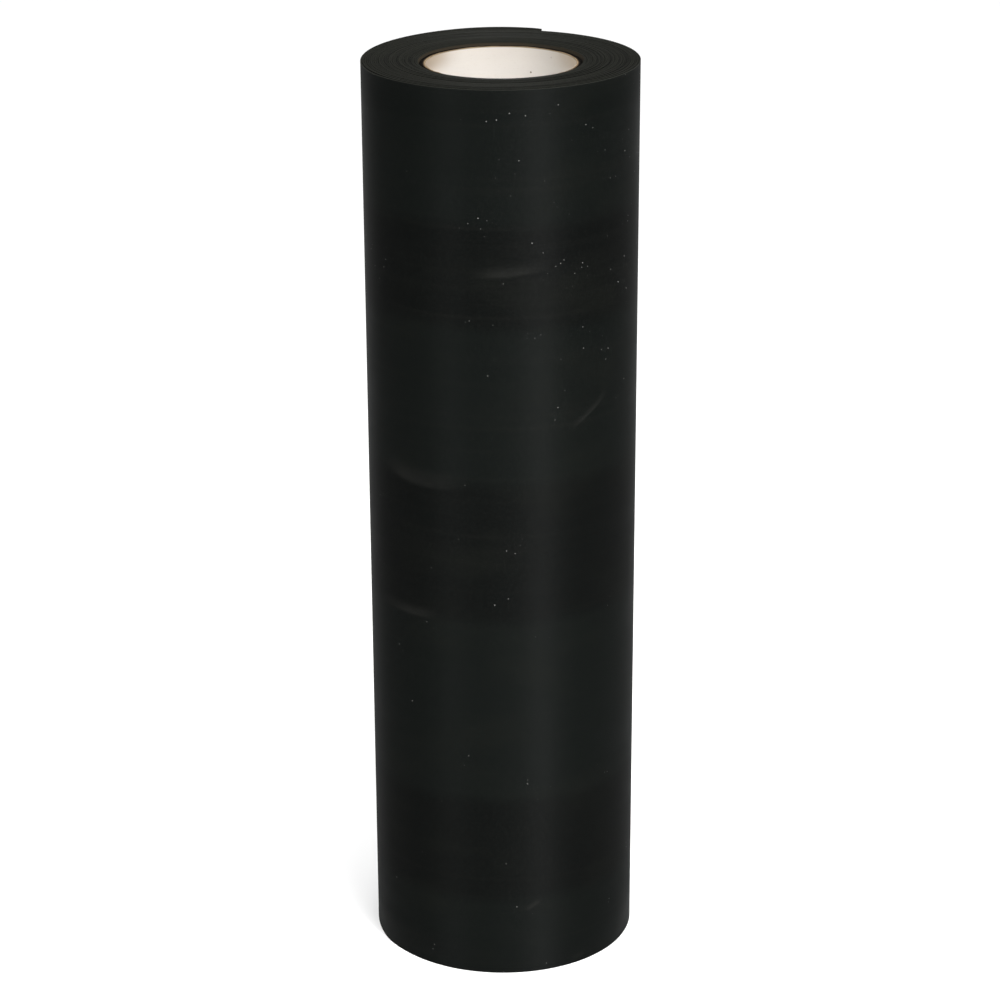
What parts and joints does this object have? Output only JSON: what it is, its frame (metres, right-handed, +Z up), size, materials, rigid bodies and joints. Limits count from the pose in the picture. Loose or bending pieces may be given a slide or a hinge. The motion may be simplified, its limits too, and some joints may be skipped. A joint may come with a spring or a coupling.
{
  "type": "sign vinyl roll",
  "caption": "Tall roll of matt black sheet vinyl standing on end, wound on a white-lined paper core, with its free outer end sprung slightly clear at the rear.",
  "frame": {"origin": "centre of the core bore at the bottom end of the roll, on the surface it stands on", "axes": "+Z up along the core axis, -Y towards the front, the free end of the web is at the rear (+Y)"},
  "size_m": [0.1407, 0.146, 0.482],
  "materials": {
    "liner_paper": "matte",
    "core_board": "matte",
    "kraft_paper": "matte",
    "tape": "satin",
    "vinyl": "matte"
  },
  "bodies": {
    "roll": {"core_inner_ply": "liner_paper", "core_board_wall": "core_board", "core_outer_ply": "kraft_paper", "start_tape": "tape", "web_roll": "vinyl"},
    "tail_1": {"web_tail_1": "vinyl"},
    "tail_2": {"web_tail_2": "vinyl"},
    "tail_3": {"web_tail_3": "vinyl"},
    "tail_4": {"web_tail_4": "vinyl"},
    "tail_5": {"web_tail_5": "vinyl"},
    "tail_6": {"web_tail_6": "vinyl"},
    "tail_7": {"web_tail_7": "vinyl"},
    "tail_8": {"web_tail_8": "vinyl"},
    "tail_9": {"web_tail_9": "vinyl"},
    "tail_10": {"web_tail_10": "vinyl"},
    "tail_11": {"web_tail_11": "vinyl"},
    "tail_12": {"web_tail_12": "vinyl"},
    "tail_13": {"web_tail_13": "vinyl"},
    "tail_14": {"web_tail_14": "vinyl"}
  },
  "joints": [
    {"name": "tail_peel_1", "type": "hinge", "parent": "roll", "child": "tail_1", "pos_m": [-0.07055, 0, 0.241], "axis": [0, 0, 1], "range_deg": [0, 8.18], "stiffness_Nm_per_rad": 0.015},
    {"name": "tail_peel_2", "type": "hinge", "parent": "tail_1", "child": "tail_2", "pos_m": [-0.06976, 0.01109, 0.241], "axis": [0, 0, 1], "range_deg": [0, 8.18], "stiffness_Nm_per_rad": 0.015},
    {"name": "tail_peel_3", "type": "hinge", "parent": "tail_2", "child": "tail_3", "pos_m": [-0.0674, 0.02196, 0.241], "axis": [0, 0, 1], "range_deg": [0, 8.18], "stiffness_Nm_per_rad": 0.015},
    {"name": "tail_peel_4", "type": "hinge", "parent": "tail_3", "child": "tail_4", "pos_m": [-0.06351, 0.03238, 0.241], "axis": [0, 0, 1], "range_deg": [0, 8.18], "stiffness_Nm_per_rad": 0.015},
    {"name": "tail_peel_5", "type": "hinge", "parent": "tail_4", "child": "tail_5", "pos_m": [-0.05819, 0.04214, 0.241], "axis": [0, 0, 1], "range_deg": [0, 8.18], "stiffness_Nm_per_rad": 0.015},
    {"name": "tail_peel_6", "type": "hinge", "parent": "tail_5", "child": "tail_6", "pos_m": [-0.05153, 0.05104, 0.241], "axis": [0, 0, 1], "range_deg": [0, 8.18], "stiffness_Nm_per_rad": 0.015},
    {"name": "tail_peel_7", "type": "hinge", "parent": "tail_6", "child": "tail_7", "pos_m": [-0.04367, 0.05891, 0.241], "axis": [0, 0, 1], "range_deg": [0, 8.18], "stiffness_Nm_per_rad": 0.015},
    {"name": "tail_peel_8", "type": "hinge", "parent": "tail_7", "child": "tail_8", "pos_m": [-0.03477, 0.06558, 0.241], "axis": [0, 0, 1], "range_deg": [0, 8.18], "stiffness_Nm_per_rad": 0.015},
    {"name": "tail_peel_9", "type": "hinge", "parent": "tail_8", "child": "tail_9", "pos_m": [-0.02502, 0.07092, 0.241], "axis": [0, 0, 1], "range_deg": [0, 8.56], "stiffness_Nm_per_rad": 0.015},
    {"name": "tail_peel_10", "type": "hinge", "parent": "tail_9", "child": "tail_10", "pos_m": [-0.01751, 0.0737, 0.241], "axis": [0, 0, 1], "range_deg": [0, 8.56], "stiffness_Nm_per_rad": 0.015},
    {"name": "tail_peel_11", "type": "hinge", "parent": "tail_10", "child": "tail_11", "pos_m": [-0.00968, 0.07533, 0.241], "axis": [0, 0, 1], "range_deg": [0, 8.56], "stiffness_Nm_per_rad": 0.015},
    {"name": "tail_peel_12", "type": "hinge", "parent": "tail_11", "child": "tail_12", "pos_m": [-0.00168, 0.07578, 0.241], "axis": [0, 0, 1], "range_deg": [0, 8.56], "stiffness_Nm_per_rad": 0.015},
    {"name": "tail_peel_13", "type": "hinge", "parent": "tail_12", "child": "tail_13", "pos_m": [0.00629, 0.07503, 0.241], "axis": [0, 0, 1], "range_deg": [0, 8.56], "stiffness_Nm_per_rad": 0.015},
    {"name": "tail_peel_14", "type": "hinge", "parent": "tail_13", "child": "tail_14", "pos_m": [0.01406, 0.0731, 0.241], "axis": [0, 0, 1], "range_deg": [0, 8.56], "stiffness_Nm_per_rad": 0.015}
  ],
  "couplings": [
    {"joint": "tail_peel_2", "follows": "tail_peel_1", "ratio": 1},
    {"joint": "tail_peel_3", "follows": "tail_peel_1", "ratio": 1},
    {"joint": "tail_peel_4", "follows": "tail_peel_1", "ratio": 1},
    {"joint": "tail_peel_5", "follows": "tail_peel_1", "ratio": 1},
    {"joint": "tail_peel_6", "follows": "tail_peel_1", "ratio": 1},
    {"joint": "tail_peel_7", "follows": "tail_peel_1", "ratio": 1},
    {"joint": "tail_peel_8", "follows": "tail_peel_1", "ratio": 1},
    {"joint": "tail_peel_9", "follows": "tail_peel_1", "ratio": 1.0477},
    {"joint": "tail_peel_10", "follows": "tail_peel_1", "ratio": 1.0477},
    {"joint": "tail_peel_11", "follows": "tail_peel_1", "ratio": 1.0477},
    {"joint": "tail_peel_12", "follows": "tail_peel_1", "ratio": 1.0477},
    {"joint": "tail_peel_13", "follows": "tail_peel_1", "ratio": 1.0477},
    {"joint": "tail_peel_14", "follows": "tail_peel_1", "ratio": 1.0477}
  ]
}
